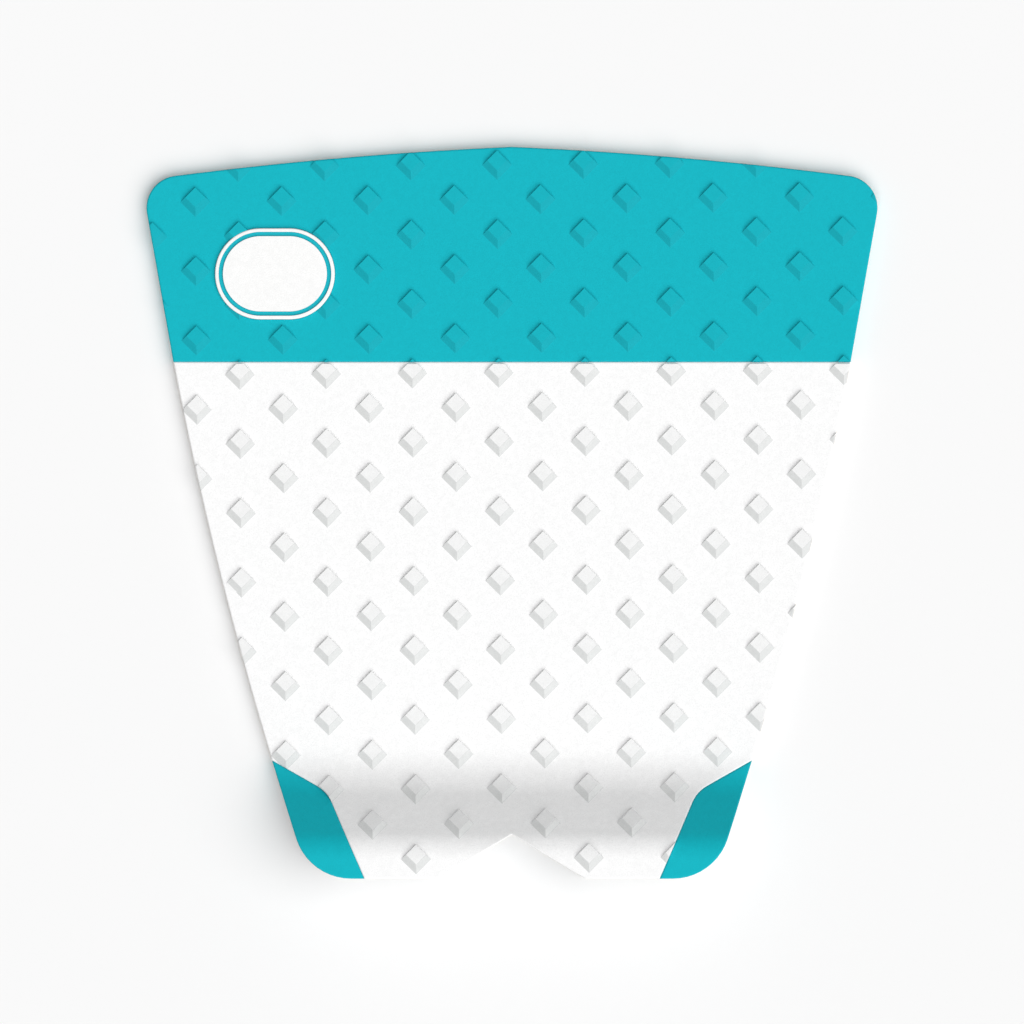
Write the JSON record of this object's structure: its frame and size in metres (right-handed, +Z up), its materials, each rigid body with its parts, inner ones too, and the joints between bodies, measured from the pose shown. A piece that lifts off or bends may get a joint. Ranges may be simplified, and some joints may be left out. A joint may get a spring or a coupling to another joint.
{
  "type": "deck traction pad",
  "caption": "Foam deck traction pad for the tail of a board, with raised diamond studs, a laminated kick with a notch, and a peel-off liner over its adhesive.",
  "frame": {"origin": "centre of the pad's bounding box, on the surface that it lies on", "axes": "+Z up from that surface, +Y from the tail kick towards the nose edge, +X across the pad"},
  "size_m": [0.305, 0.305, 0.034],
  "materials": {
    "foam_teal": "matte closed-cell foam",
    "foam_white": "matte closed-cell foam",
    "foam_core": "matte closed-cell foam, sanded edges",
    "badge_white": "smooth satin foam skin",
    "adhesive": "tacky gloss film",
    "liner_paper": "satin coated kraft paper"
  },
  "bodies": {
    "pad": {"front_panel": "foam_teal", "main_panel": "foam_white", "left_corner_panel": "foam_teal", "right_corner_panel": "foam_teal", "badge": "badge_white", "kick_core_upper": "foam_core", "kick_core_middle": "foam_core", "kick_core_lower": "foam_core", "front_adhesive": "adhesive", "main_adhesive": "adhesive", "kick_adhesive": "adhesive"},
    "liner_left": {"left_liner": "liner_paper"},
    "liner_right": {"right_liner": "liner_paper"}
  },
  "joints": [
    {"name": "left_liner_peel", "type": "hinge", "parent": "pad", "child": "liner_left", "pos_m": [-0.0003, 0, 0.0002], "axis": [0, -1, 0], "range_deg": [0, 85]},
    {"name": "right_liner_peel", "type": "hinge", "parent": "pad", "child": "liner_right", "pos_m": [0.0003, 0, 0.0002], "axis": [0, 1, 0], "range_deg": [0, 85]}
  ]
}
